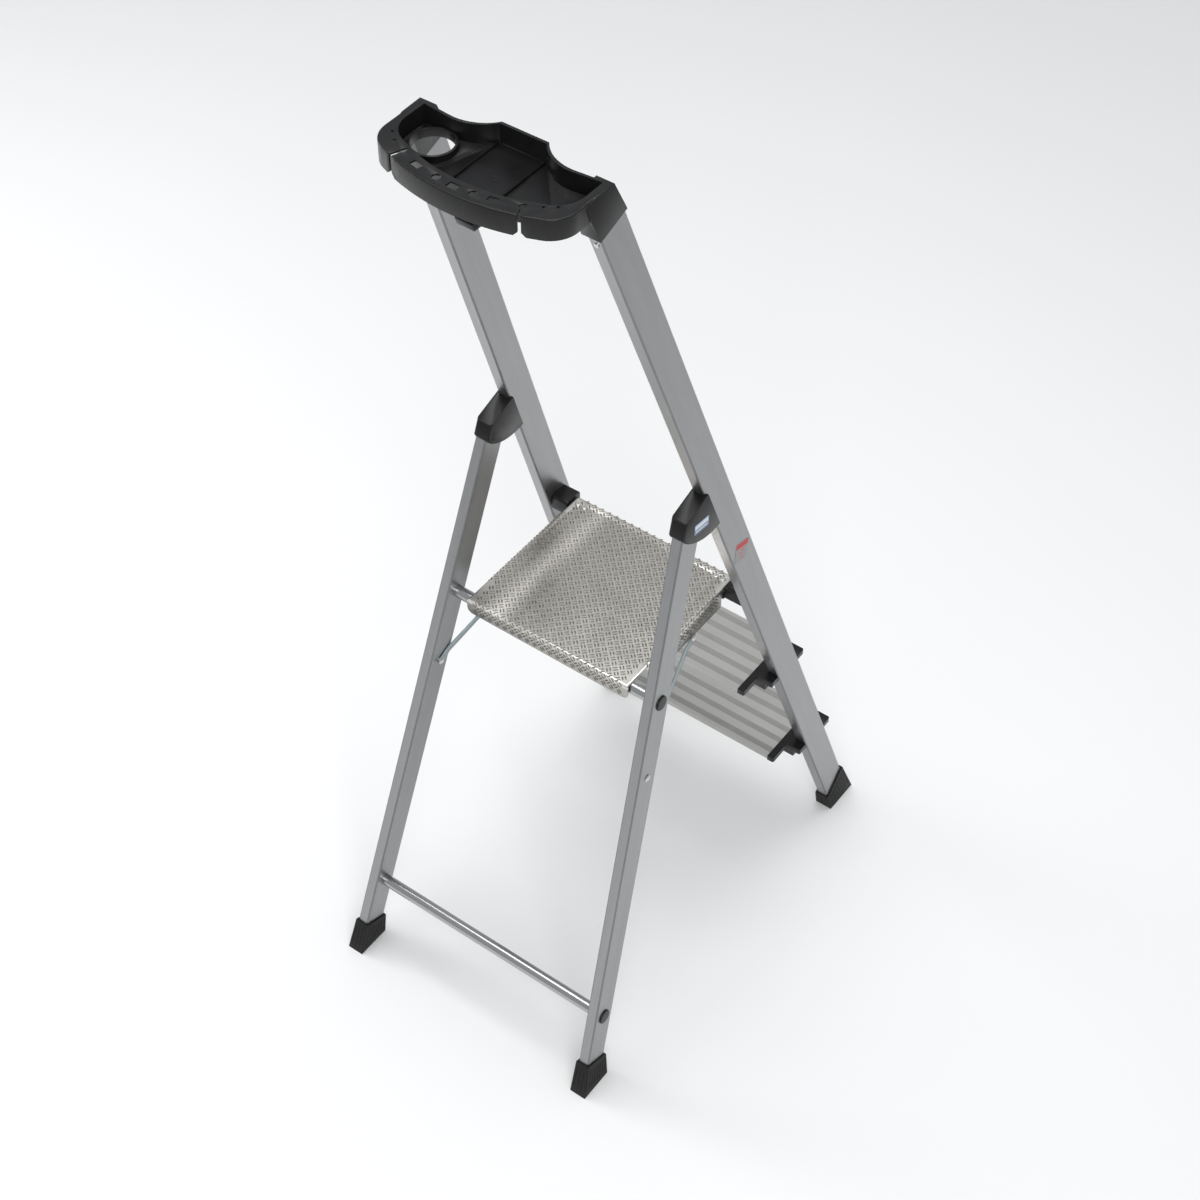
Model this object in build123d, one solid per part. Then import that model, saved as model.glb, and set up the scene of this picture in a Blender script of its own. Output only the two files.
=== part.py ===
from build123d import *
import os
from math import sin, cos, tan, radians, degrees, hypot, atan2

# Folding aluminium step ladder: two treads, a standing platform and a tool tray.
# Z is up, the floor is Z = 0, the climbing side faces -Y and +X is the climber's right.
# The origin is on the floor in the middle of the four feet.

# ---- driving dimensions, millimetres and degrees ----
STEP_RISE = 235.0            # floor to first tread, and tread to tread
PLATFORM_HEIGHT = 694.0
TRAY_HEIGHT = 1585.0         # top of the tray rim
FRONT_LEAN = 19.7            # front frame from the vertical
REAR_LEAN = 18.4             # rear frame from the vertical
TAPER = 3.4                  # each stile leans in by this
BASE_SPREAD = 720.5          # rear face of front rails to rear face of rear legs, on the floor
FRONT_Y = -331.0             # rear face of the front rails, on the floor

RAIL_W, RAIL_D, RAIL_WALL = 20.0, 50.0, 1.5
RAIL_BASE_HALF = 239.5       # outer face of a front rail from the middle, on the floor
LEG_W, LEG_D, LEG_WALL = 18.0, 44.0, 1.4
SOLE = 9.0                   # rubber under the end of each stile

HINGE_S = 1030.0             # fold pivot, measured up the front frame
HINGE_PIN_R = 4.0
FOLD_STOP = 1.2              # left between legs and rails when folded, so they clear the brackets
COVER_WALL = 2.6
COVER_GAP = 0.3

PLATFORM_W = 292.0
PLATFORM_FRONT_Y = -119.0
PLATFORM_REAR_Y = 153.0
PLATFORM_SHEET = 2.0
PLATFORM_FLANGE = 36.0
PLATFORM_LIP = 26.0
PLATFORM_PIVOT = (-25.0, 716.0)   # behind the rail's rear face, up the front frame
PIVOT_PIN_R = 5.0
BRACE_TOP = (-10.0, 657.0)        # brace pivot on the platform, Y and Z

TUBE_R, TUBE_WALL = 9.5, 1.5
LOWER_TUBE_UP = 150.0             # measured up the rear frame
BRACE_W, BRACE_T = 11.0, 2.5
BRACE_RIVET_R = 3.0
RUN_FIT = 0.08                    # radial clearance of the turning pins

TREAD_D, TREAD_SKIN = 129.0, 2.2
TREAD_REACH = 56.0                # tread behind the rear face of the rails
TREAD_REAR_LIP, TREAD_FRONT_LIP = 9.0, 22.0
TREAD_END_GAP = 19.0              # end of a tread to the inner face of the rail
BRACKET_T = 11.0

TRAY_HALF_W = 140.0
TRAY_FRONT_Y, TRAY_BULGE_Y = 187.0, 166.0
TRAY_APEX_Y = 311.0
TRAY_FLOOR = 1556.0
TRAY_SKIN = 2.5
SOCKET_S = 1618.0                 # lower end of the tray sockets, up the front frame
SOCKET_FRONT_Y, SOCKET_SLOPE = 185.5, 0.44   # front of the sockets at the rim, and its slope
RAIL_TOP = 1548.0                 # height the rails reach inside the sockets

# ---- frames ----
LEAN_F, LEAN_R = radians(FRONT_LEAN), radians(REAR_LEAN)
SLOPE = tan(radians(TAPER))
REAR_Y = FRONT_Y + BASE_SPREAD
front = Pos(0, FRONT_Y, 0) * Rot(-FRONT_LEAN, 0, 0)
rear = Pos(0, REAR_Y, 0) * Rot(REAR_LEAN, 0, 0)


def front_point(back, up):
    """Y and Z of a point: back = behind the rails' rear face, up = along the rails."""
    y = FRONT_Y + back * cos(LEAN_F) + up * sin(LEAN_F)
    return y, up * cos(LEAN_F) - back * sin(LEAN_F)


def leg_axis_at_z(z):
    """Y of the middle line of the rear legs at a height."""
    return REAR_Y - LEG_D / 2 / cos(LEAN_R) - z * tan(LEAN_R)


def up_leg(y, z):
    """Distance of a point up the rear frame."""
    return (REAR_Y - y) * sin(LEAN_R) + z * cos(LEAN_R)


# fold pivot: where the middle line of the legs crosses the height HINGE_S up the front frame
HINGE_Z = ((HINGE_S - (leg_axis_at_z(0) - FRONT_Y) * sin(LEAN_F))
           / (cos(LEAN_F) - tan(LEAN_R) * sin(LEAN_F)))
HINGE_Y = leg_axis_at_z(HINGE_Z)
HINGE_BACK = (HINGE_Y - FRONT_Y) * cos(LEAN_F) - HINGE_Z * sin(LEAN_F)
HINGE_UP_LEG = up_leg(HINGE_Y, HINGE_Z)
HINGE_X = RAIL_BASE_HALF - RAIL_W / 2 - SLOPE * HINGE_S
ALONG = 1 / cos(radians(TAPER))          # length along a stile per length up its frame
LEG_BASE_HALF = HINGE_X + LEG_W / 2 + SLOPE * HINGE_UP_LEG
PIVOT_Y, PIVOT_Z = front_point(*PLATFORM_PIVOT)

OPEN_ANGLE = FRONT_LEAN + REAR_LEAN      # between rails and legs, standing open
FOLD_ANGLE = OPEN_ANGLE - FOLD_STOP
PLATFORM_ANGLE = 90 - FRONT_LEAN         # platform ends parallel to the rails


def turned(y, z, cy, cz, angle):
    c, s = cos(radians(angle)), sin(radians(angle))
    return cy + (y - cy) * c - (z - cz) * s, cz + (y - cy) * s + (z - cz) * c


def brace_foot():
    """Distance below the fold pivot, along the leg, where a brace of one length fits
    both the open and the folded ladder."""
    ty, tz = BRACE_TOP
    fy, fz = turned(ty, tz, PIVOT_Y, PIVOT_Z, PLATFORM_ANGLE)
    ty, tz, fy, fz = ty - HINGE_Y, tz - HINGE_Z, fy - HINGE_Y, fz - HINGE_Z
    open_dot = ty * sin(LEAN_R) - tz * cos(LEAN_R)
    folded = LEAN_F - radians(FOLD_STOP)
    fold_dot = -fy * sin(folded) - fz * cos(folded)
    return (ty ** 2 + tz ** 2 - fy ** 2 - fz ** 2) / (2 * (open_dot - fold_dot))


BRACE_DOWN = brace_foot()
BRACE_UP_LEG = HINGE_UP_LEG - BRACE_DOWN
BRACE_Y = HINGE_Y + BRACE_DOWN * sin(LEAN_R)
BRACE_Z = HINGE_Z - BRACE_DOWN * cos(LEAN_R)
BRACE_LEN = hypot(BRACE_TOP[0] - BRACE_Y, BRACE_TOP[1] - BRACE_Z)
UPPER_TUBE_Z = PLATFORM_HEIGHT - PLATFORM_SHEET - COVER_GAP - TUBE_R
LOWER_TUBE_Z = ((LOWER_TUBE_UP - (REAR_Y - leg_axis_at_z(0)) * sin(LEAN_R))
                / (cos(LEAN_R) + tan(LEAN_R) * sin(LEAN_R)))


def leg_outer(z):
    """Outer face of a rear leg from the middle at a height on its middle line."""
    return LEG_BASE_HALF - SLOPE * up_leg(leg_axis_at_z(z), z)


# ---- helpers ----
parts = {}
SIDES = (("right", 1), ("left", -1))


def keep(name, shape):
    parts[name] = shape


def keep_pair(name, shape):
    """The +X piece and its mirror image."""
    keep(name + "_right", shape)
    keep(name + "_left", mirror(shape, about=Plane.YZ))


def both(shape):
    """Two like pieces in one node, one each side."""
    return Compound([shape, mirror(shape, about=Plane.YZ)])


def x_rod(x0, x1, y, z, r):
    return Pos((x0 + x1) / 2, y, z) * Rot(0, 90, 0) * Cylinder(r, abs(x1 - x0))


def slab(x0, x1, y0, y1, z0, z1):
    return Pos((x0 + x1) / 2, (y0 + y1) / 2, (z0 + z1) / 2) * Box(x1 - x0, y1 - y0, z1 - z0)


def side_face(*edges):
    """Closed outline given in Y and Z, as a face in the YZ plane."""
    return make_face(Plane.YZ * Wire(edges))


def side_plate(x0, x1, face):
    return Pos(x0, 0, 0) * extrude(face, amount=x1 - x0, dir=(1, 0, 0))


def polygon(points):
    ends = points[1:] + points[:1]
    return [Line(a, b) for a, b in zip(points, ends)]


def dome_head(x, y, z, r, out):
    """Domed rivet head on an X axis: flat at x, domed towards out (+1 or -1)."""
    height = r * 0.45
    ball = (r ** 2 + height ** 2) / (2 * height)
    head = Sphere(ball) & Pos(0, 0, ball) * Box(3 * r, 3 * r, 2 * height)
    return Pos(x, y, z) * Rot(0, 90 * out, 0) * Pos(0, 0, height - ball) * head


rail_frame = front * Pos(RAIL_BASE_HALF, 0, 0) * Rot(0, -TAPER, 0)
leg_frame = rear * Pos(LEG_BASE_HALF, 0, 0) * Rot(0, -TAPER, 0)


def stile(width, depth, wall, length, corner=2.5):
    """Rectangular tube: outer face on x = 0, rear face on y = 0."""
    ring = (RectangleRounded(width, depth, corner)
            - RectangleRounded(width - 2 * wall, depth - 2 * wall, corner - wall))
    return Pos(-width / 2, -depth / 2, -40) * extrude(ring, amount=length + 40)


def stile_core(width, depth, length, gap):
    """Solid block that clears a stile by gap."""
    block = Box(width + 2 * gap, depth + 2 * gap, length + 40)
    return Pos(-width / 2, -depth / 2, (length - 40) / 2) * block


above_sole = slab(-400, 400, -600, 600, SOLE, 2000)

# ---- front rails ----
rail = rail_frame * stile(RAIL_W, RAIL_D, RAIL_WALL, 1700)
rail = rail & above_sole & slab(-400, 400, -600, 600, 0, RAIL_TOP)
rail_solid = rail_frame * stile_core(RAIL_W, RAIL_D, 1700, 0.1)

# ---- rear legs ----
LEG_TOP, LEG_TOP_HALF, LEG_SHOULDER = 12.0, 12.0, -2.0
leg = leg_frame * stile(LEG_W, LEG_D, LEG_WALL, 1100) & above_sole
pivot_up = HINGE_UP_LEG * ALONG
leg_end = side_plate(-60, 60, side_face(*polygon([
    (-LEG_D, -1200), (0, -1200), (0, pivot_up + LEG_SHOULDER),
    (-LEG_D / 2 + LEG_TOP_HALF, pivot_up + LEG_TOP),
    (-LEG_D / 2 - LEG_TOP_HALF, pivot_up + LEG_TOP),
    (-LEG_D, pivot_up + LEG_SHOULDER)])))
leg = leg & leg_frame * leg_end
leg_solid = leg_frame * stile_core(LEG_W, LEG_D, 1100, 0.1)

# ---- fold hinge: cover on the rail, pin through the leg ----
COVER_HALF = RAIL_W / 2 + 3.0
NOSE_ROUND = 4.5
cover_frame = front * Pos(HINGE_X, 0, HINGE_S) * Rot(0, -TAPER, 0)
cover_outline = [
    Line((-5, 19), (50, 20)), Line((50, 20), (65.5, 0)), Line((65.5, 0), (65, -6)),
    ThreePointArc((65, -6), (34, -42.5), (-5, -57)), Line((-5, -57), (-5, 19))]
cover = side_plate(-COVER_HALF, COVER_HALF, side_face(*cover_outline))
cover = fillet(cover.edges().filter_by(lambda e: e.center().Y > 50 and abs(e.center().X) > 12), NOSE_ROUND)
cavity_half = RAIL_W / 2 + COVER_GAP
# the back of the cavity runs along the rear face of the open leg
SWING = radians(OPEN_ANGLE)
leg_back = HINGE_BACK + (LEG_D / 2 + 0.5) / cos(SWING)
ceiling, mouth = 20 - COVER_WALL, -70.0
cover -= side_plate(-cavity_half, cavity_half, side_face(*polygon([
    (-8, mouth), (leg_back - mouth * tan(SWING), mouth), (leg_back - ceiling * tan(SWING), ceiling),
    (0.1, ceiling), (0.1, 30), (-8, 30)])))
cover = cover_frame * cover
pin_half = COVER_HALF - 1.0
hinge_pin = x_rod(HINGE_X - pin_half, HINGE_X + pin_half, HINGE_Y, HINGE_Z, HINGE_PIN_R)
cover -= x_rod(HINGE_X - pin_half, HINGE_X + pin_half, HINGE_Y, HINGE_Z, HINGE_PIN_R + 0.02)
leg -= x_rod(HINGE_X - 30, HINGE_X + 30, HINGE_Y, HINGE_Z, HINGE_PIN_R + RUN_FIT)

# ---- cross tubes of the rear frame and their end caps ----
CAP_R, CAP_T = 12.0, 2.6


def cross_tube(z):
    half = leg_outer(z) - 1.0
    y = leg_axis_at_z(z)
    return x_rod(-half, half, y, z, TUBE_R) - x_rod(-half, half, y, z, TUBE_R - TUBE_WALL)


def tube_cap(z):
    up = up_leg(leg_axis_at_z(z), z) * ALONG
    head = Pos(CAP_T / 2 + 0.05, 0, 0) * Rot(0, 90, 0) * Cylinder(CAP_R, CAP_T)
    head = fillet(head.edges().sort_by(Axis.X)[-1], 1.6)
    plug = Pos(-6, 0, 0) * Rot(0, 90, 0) * Cylinder(TUBE_R - TUBE_WALL - 0.9, 12.2)
    return leg_frame * Pos(0, -LEG_D / 2, up) * (head + plug)


for tube_z in (UPPER_TUBE_Z, LOWER_TUBE_Z):
    leg -= x_rod(0, 400, leg_axis_at_z(tube_z), tube_z, TUBE_R + 0.05)

# ---- braces: flat strips from the legs to the platform ----
brace_in = PLATFORM_W / 2 + 0.6            # strip runs against the platform flange here
leg_inner = LEG_BASE_HALF - LEG_W - SLOPE * BRACE_UP_LEG
brace_out = leg_inner - 1.4 - BRACE_T      # and against the leg here
END_RUN = 20.0
strip = make_face(Polyline((-BRACE_W / 2, brace_out), (END_RUN, brace_out),
                           (BRACE_LEN - END_RUN, brace_in), (BRACE_LEN + BRACE_W / 2, brace_in),
                           (BRACE_LEN + BRACE_W / 2, brace_in + BRACE_T),
                           (BRACE_LEN - END_RUN, brace_in + BRACE_T),
                           (END_RUN, brace_out + BRACE_T), (-BRACE_W / 2, brace_out + BRACE_T),
                           close=True))
strip = Pos(0, 0, -BRACE_W / 2) * extrude(strip, amount=BRACE_W)
strip = fillet(strip.edges().filter_by(Axis.Y).sort_by(Axis.X)[:2], BRACE_W / 2 - 0.2)
strip = fillet(strip.edges().filter_by(Axis.Y).sort_by(Axis.X)[-2:], BRACE_W / 2 - 0.2)
brace_angle = degrees(atan2(BRACE_TOP[1] - BRACE_Z, BRACE_TOP[0] - BRACE_Y))
# local x runs up the brace, local y becomes +X
brace_frame = Pos(0, BRACE_Y, BRACE_Z) * Rot(brace_angle, 0, 0) * Rot(0, 0, 90) * Rot(180, 0, 0)
brace = brace_frame * strip
brace -= x_rod(100, 250, BRACE_Y, BRACE_Z, BRACE_RIVET_R + RUN_FIT)
brace -= x_rod(100, 250, *BRACE_TOP, BRACE_RIVET_R)
leg_outer_at_brace = leg_inner + LEG_W
leg_rivet = x_rod(brace_out - 0.4, leg_outer_at_brace + 0.8, BRACE_Y, BRACE_Z, BRACE_RIVET_R)
leg_rivet += dome_head(leg_outer_at_brace + 0.6, BRACE_Y, BRACE_Z, 6.0, 1)
leg_rivet += dome_head(brace_out - 0.4, BRACE_Y, BRACE_Z, 5.5, -1)
leg -= x_rod(100, 260, BRACE_Y, BRACE_Z, BRACE_RIVET_R + 0.02)
leg -= x_rod(leg_outer_at_brace - 0.3, 260, BRACE_Y, BRACE_Z, 6.2)
spacer = x_rod(brace_out + BRACE_T + 0.1, leg_inner - 0.4, BRACE_Y, BRACE_Z, 5.5)
leg_rivet += spacer
stud = x_rod(brace_in, brace_in + BRACE_T + 0.2, *BRACE_TOP, BRACE_RIVET_R)
stud += dome_head(brace_in + BRACE_T, *BRACE_TOP, 5.5, 1)

# ---- platform: one pressed sheet, flanged all round ----
z_top, z_under = PLATFORM_HEIGHT, PLATFORM_HEIGHT - PLATFORM_SHEET
half_w = PLATFORM_W / 2
outer = slab(-half_w, half_w, PLATFORM_FRONT_Y, PLATFORM_REAR_Y, z_top - PLATFORM_FLANGE, z_top)
outer = fillet(outer.edges().group_by(Axis.Z)[-1], 4.5)
inner = slab(-half_w + PLATFORM_SHEET, half_w - PLATFORM_SHEET, PLATFORM_FRONT_Y + PLATFORM_SHEET,
             PLATFORM_REAR_Y - PLATFORM_SHEET, z_top - 60, z_under)
inner = fillet(inner.edges().group_by(Axis.Z)[-1], 2.5)
platform = outer - inner
FLANGE_END_Y = 105.0
FLANGE_START_Y = -84.0
FRONT_LIP = 20.0
LIP_CORNER = 10.0
platform -= slab(-200, 200, FLANGE_END_Y, 200, 0, z_top - PLATFORM_LIP)
platform -= slab(-200, 200, -200, FLANGE_START_Y, 0, z_top - FRONT_LIP)
for side in (-1, 1):
    x0, x1 = sorted((side * (half_w - 10), side * (half_w + 10)))
    platform -= slab(x0, x1, FLANGE_END_Y, PLATFORM_REAR_Y - PLATFORM_SHEET, 0, z_under)
    lip_x, lip_z = side * (half_w - LIP_CORNER), z_top - PLATFORM_LIP + LIP_CORNER
    corner = Pos(lip_x + side * LIP_CORNER / 2, PLATFORM_REAR_Y, lip_z - LIP_CORNER / 2)
    platform -= (corner * Box(LIP_CORNER, 8, LIP_CORNER)
                 - Pos(lip_x, PLATFORM_REAR_Y, lip_z) * Rot(90, 0, 0) * Cylinder(LIP_CORNER, 9))
    platform -= slab(x0, x1, -200, FLANGE_START_Y, 0, z_top - 6)
    toe = Pos(side * half_w, FLANGE_END_Y, z_top - PLATFORM_FLANGE) * Rot(45, 0, 0) * Box(30, 26, 26)
    platform -= toe

# ---- platform hinge lugs, on the platform, and their pins, in the rails ----
LUG_IN, LUG_OUT = 112.0, 175.0
lug_nose, lug_back = PLATFORM_FRONT_Y + PLATFORM_SHEET + 3, FLANGE_START_Y - 4
lug = slab(LUG_IN, half_w - 5, lug_nose, lug_back, z_under - 20, z_under)
lug += slab(LUG_IN, half_w + 0.8, lug_nose, lug_back, z_under - 20, z_top - 6.2)
boss = slab(half_w + 0.8, LUG_OUT, PIVOT_Y - 13, PIVOT_Y + 22, PIVOT_Z - 13, z_top + 4)
boss = fillet(boss.edges().filter_by(Axis.X), 5)
lug += boss
lug -= x_rod(LUG_IN + 24, 200, PIVOT_Y, PIVOT_Z, PIVOT_PIN_R + RUN_FIT)
rail_inner_at_pivot = RAIL_BASE_HALF - RAIL_W - SLOPE * PLATFORM_PIVOT[1]
pivot_pin = x_rod(LUG_IN + 26, rail_inner_at_pivot + 4, PIVOT_Y, PIVOT_Z, PIVOT_PIN_R)
rail -= x_rod(150, rail_inner_at_pivot + 8, PIVOT_Y, PIVOT_Z, PIVOT_PIN_R + 0.02)
RIVET_Y = -104.0
platform_rivets = []
for x in (122.0, 134.0):
    shank = Pos(x, RIVET_Y, z_top - 8) * Cylinder(2.4, 16)
    head = Pos(x, RIVET_Y, z_top + 0.9) * Cylinder(4.6, 1.8)
    head = fillet(head.edges().group_by(Axis.Z)[-1], 1.2)
    platform_rivets += [shank + head]
    lug -= Pos(x, RIVET_Y, z_top - 8) * Cylinder(2.42, 16.1)
    for side in (-1, 1):
        platform -= Pos(side * x, RIVET_Y, z_top - 4) * Cylinder(2.42, 20)

# ---- treads ----
BAND_COUNT, BAND_W, GROOVE_D = 5, 11.0, 0.7


def tread_place(step):
    z = STEP_RISE * step
    y_rail = FRONT_Y + z * tan(LEAN_F)
    half = RAIL_BASE_HALF - RAIL_W - SLOPE * z / cos(LEAN_F) - TREAD_END_GAP
    return z, y_rail + TREAD_REACH, half


def tread(step):
    z, y_back, half = tread_place(step)
    y_nose = y_back - TREAD_D
    skin = TREAD_SKIN
    face = Pos((y_back + y_nose) / 2, z - skin / 2) * Rectangle(TREAD_D, skin)
    face += Pos(y_back - skin / 2, z - TREAD_REAR_LIP / 2) * Rectangle(skin, TREAD_REAR_LIP)
    face += Pos(y_nose + skin / 2, z - TREAD_FRONT_LIP / 2) * Rectangle(skin, TREAD_FRONT_LIP)
    for web in (40.0, 84.0):
        face += Pos(y_nose + web, z - TREAD_FRONT_LIP / 2) * Rectangle(skin, TREAD_FRONT_LIP)
        face += Pos(y_nose + web, z - TREAD_FRONT_LIP) * Rectangle(10, skin)
    pitch = TREAD_D / BAND_COUNT
    for band in range(BAND_COUNT):
        middle = y_nose + pitch * (band + 0.5)
        for groove in range(4):
            y = middle + (groove - 1.5) * BAND_W / 4
            face -= Pos(y, z) * Rectangle(1.3, 2 * GROOVE_D)
    return side_plate(-half, half, Plane.YZ * face)


def tread_bracket(step):
    """Plastic end piece: a flat plate that holds the tread and clasps the rail."""
    z, y_back, half = tread_place(step)
    y_rail = y_back - TREAD_REACH
    y_nose = y_back - TREAD_D
    reach = RAIL_BASE_HALF - SLOPE * z / cos(LEAN_F) - 1.0
    arm = 12.0
    jaw_back, jaw_front = y_rail + 17, y_nose - 1
    plan = make_face(Polyline(
        (half + 0.1, y_back + 1), (half + arm, y_back + 1), (half + arm, jaw_back),
        (reach, jaw_back), (reach, jaw_front), (half + 0.1, jaw_front), close=True))
    plan = fillet(plan.vertices().filter_by(lambda v: v.X > half + 5), 3.0)
    plate = Pos(0, 0, z - BRACKET_T + 1) * extrude(plan, amount=BRACKET_T)
    plate = fillet(plate.edges().group_by(Axis.Z)[-1], 1.2)
    block = slab(half + 0.1, half + TREAD_END_GAP + 2, y_nose + 4, y_rail + 8, z - 34, z - 2)
    tongue = slab(half - 22, half + 0.2, y_nose + 44, y_nose + 80, z - 17, z - TREAD_SKIN - 0.2)
    return (plate + block + tongue) - rail_solid


def bracket_rivet(step):
    z, y_back, half = tread_place(step)
    y, z = y_back - TREAD_REACH - 28, z - 29
    x_in = half + TREAD_END_GAP
    rod = x_rod(half - 0.9, x_in + 6, y, z, 2.4)
    return rod + dome_head(half + 0.1, y, z, 5.0, -1)


# ---- feet ----
def foot(stile_frame, solid, base_half, width, depth, lean, front_flare, rear_flare, tops):
    """Rubber shoe: flared footprint on the floor, snug round the stile at the top."""
    base_y = FRONT_Y if stile_frame is rail_frame else REAR_Y
    flare = 5.2
    back, nose = base_y + rear_flare, base_y - depth / cos(lean) - front_flare
    base = Pos(base_half - width / 2, (back + nose) / 2, 0) * Rectangle(width + 2 * flare, back - nose)
    wall = 2.8
    top_back, top_front = tops
    corners = [(wall, wall, top_back), (wall, -depth - wall, top_front),
               (-width - wall, -depth - wall, top_front), (-width - wall, wall, top_back)]
    top = stile_frame * make_face(Polyline(*corners, close=True))
    shoe = loft([base, top], ruled=True)
    return shoe - (solid & above_sole)


# ---- tool tray ----
def tray_outline(side, nose, back):
    """Plan of the tray, drawn in by the given amounts at its sides, nose and back."""
    hw, yf, yb = TRAY_HALF_W - side, TRAY_FRONT_Y + nose, TRAY_BULGE_Y + nose
    apex, shoulder = TRAY_APEX_Y - back, TRAY_APEX_Y - 22 - back
    flat, bend, dip = 34.5, 92.0, 4.5
    neck, hip = hw - 28, yf + 64 - nose - back
    edges = []
    for s in (1, -1):
        straight = Line((s * hw, yf), (s * bend, yf + dip))
        edges += [straight,
                  TangentArc((s * bend, yf + dip), (s * flat, yb), tangent=straight % 1),
                  Line((s * hw, yf), (s * hw, hip)),
                  TangentArc((s * hw, hip), (s * neck, shoulder), tangent=(0, 1))]
    edges += [Line((-flat, yb), (flat, yb)),
              ThreePointArc((-neck, shoulder), (0, apex), (neck, shoulder))]
    return make_face(Wire(edges))


def raised(face, z0, z1):
    return Pos(0, 0, z0) * extrude(face, amount=z1 - z0)


RIM_SIDE, RIM_NOSE, RIM_BACK = 10.0, 5.0, 26.0
HOLE_X, HOLE_Y, HOLE_R = 89.5, 227.0, 27.0
NOTCH_V = 11.0
tray = raised(tray_outline(0, 0, 0), TRAY_FLOOR, TRAY_HEIGHT)
tray = fillet(tray.edges().group_by(Axis.Z)[-1], 1.5)
channel = tray_outline(TRAY_SKIN, TRAY_SKIN, TRAY_SKIN) - tray_outline(
    RIM_SIDE - TRAY_SKIN, -TRAY_SKIN, RIM_BACK - TRAY_SKIN)
channel &= Pos(0, 300) * Rectangle(400, 180)
tray -= raised(channel, TRAY_FLOOR - 5, TRAY_HEIGHT - TRAY_SKIN)

# sockets that take the ends of the rails
socket_plan = Plane.XZ * make_face(Polyline(
    (118, SOCKET_S), (146, SOCKET_S), (140.5, SOCKET_S + 60), (116, SOCKET_S + 60), close=True))
socket = Pos(0, RAIL_WALL + 1.2, 0) * extrude(socket_plan, amount=RAIL_D + 5.4, dir=(0, -1, 0))
socket = front * socket & slab(-400, 400, -600, 600, 0, TRAY_HEIGHT)
DROP = 200.0
socket &= side_plate(0, 200, side_face(*polygon([
    (SOCKET_FRONT_Y, TRAY_HEIGHT), (SOCKET_FRONT_Y - SOCKET_SLOPE * DROP, TRAY_HEIGHT - DROP),
    (400, TRAY_HEIGHT - DROP), (400, TRAY_HEIGHT)])))
tray += socket + mirror(socket, about=Plane.YZ)
tray -= raised(tray_outline(RIM_SIDE, RIM_NOSE, RIM_BACK), TRAY_FLOOR + TRAY_SKIN, TRAY_HEIGHT + 40)
tray -= rail_solid & slab(-400, 400, -600, 600, 0, RAIL_TOP + 0.1)
tray -= mirror(rail_solid, about=Plane.YZ) & slab(-400, 400, -600, 600, 0, RAIL_TOP + 0.1)

# bottle ring, floor ribs and the tool holes of the rim
tray += Pos(HOLE_X, HOLE_Y, TRAY_FLOOR + 6) * Cylinder(HOLE_R + 3, 12)
tray -= Pos(HOLE_X, HOLE_Y, TRAY_FLOOR) * Cylinder(HOLE_R, 60)
for x in (-34.0, 34.0):
    tray += slab(x - 1, x + 1, TRAY_BULGE_Y + 8, TRAY_APEX_Y - RIM_BACK - 1, TRAY_FLOOR + 1, TRAY_FLOOR + 6)
rim_z = TRAY_HEIGHT
for x, y, w, d in ((61, 290, 15, 9), (2, 297, 15, 10), (-50, 290, 13, 8)):
    tray -= Pos(x, y, rim_z) * Rot(0, 0, -0.22 * x) * Box(w, d, 20)
for x, y, r in ((28, 295, 5.5), (-25, 295, 5.5), (-84.5, 280, 4.6), (90, 279, 3.6)):
    tray -= Pos(x, y, rim_z) * Cylinder(r, 20)
for x, y in ((-104, 268), (-117, 258), (124, 257), (111, 269)):
    tray -= Pos(x, y, rim_z) * extrude(RegularPolygon(3.0, 3), amount=10, both=True)
for x, y, turn in ((-88, 288, 20), (93, 285, -22)):
    notch = Pos(x, y) * Rot(0, 0, turn)
    tray -= notch * Pos(0, 0, rim_z - 20) * Box(4.5, 26, 80)
    tray -= notch * Pos(0, 8, TRAY_FLOOR) * Rot(0, 45, 0) * Box(NOTCH_V, 26, NOTCH_V)

# bucket hook under the back of the tray
HOOK_X, HOOK_Y = -11.0, 272.0
hook_side = side_face(*polygon([
    (HOOK_Y, TRAY_FLOOR), (HOOK_Y, TRAY_FLOOR - 26), (HOOK_Y + 22, TRAY_FLOOR - 26),
    (HOOK_Y + 26, TRAY_FLOOR - 14), (HOOK_Y + 22, TRAY_FLOOR - 14), (HOOK_Y + 18, TRAY_FLOOR - 20),
    (HOOK_Y + 6, TRAY_FLOOR - 20), (HOOK_Y + 6, TRAY_FLOOR)]))
hook = side_plate(HOOK_X - 13, HOOK_X + 13, hook_side)
hook = fillet(hook.edges().filter_by(Axis.X).sort_by(Axis.Z)[:2], 2.5)

# rivets that hold the tray to the rails, and the screws of the front feet
TRAY_RIVET_S = 1603.0
tray_rivet_x = RAIL_BASE_HALF - RAIL_W / 2 - SLOPE * TRAY_RIVET_S
rivet = Rot(-90, 0, 0) * (Pos(0, 0, 0.7) * Cylinder(3.6, 1.4) + Pos(0, 0, -3) * Cylinder(2, 7))
tray_rivet = front * Pos(tray_rivet_x, 0, TRAY_RIVET_S) * rivet
rail -= front * Pos(tray_rivet_x, 0, TRAY_RIVET_S) * Rot(90, 0, 0) * Cylinder(2.02, 12)

for step in (1, 2):
    z, y_back, half = tread_place(step)
    y, z = y_back - TREAD_REACH - 28, z - 29
    rail -= x_rod(half - 2, half + TREAD_END_GAP + 8, y, z, 2.42)

# ---- stickers, plain ----
sticker = cover_frame * Pos(COVER_HALF, 26, -16) * Rot(24, 0, 0) * Rot(0, 90, 0) * extrude(
    RectangleRounded(17, 33, 2), amount=0.4)
label = rail_frame * Pos(0.05, -23.5, 864) * Rot(30, 0, 0) * Rot(0, 90, 0) * extrude(
    RectangleRounded(34, 30, 2), amount=0.3)

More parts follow.
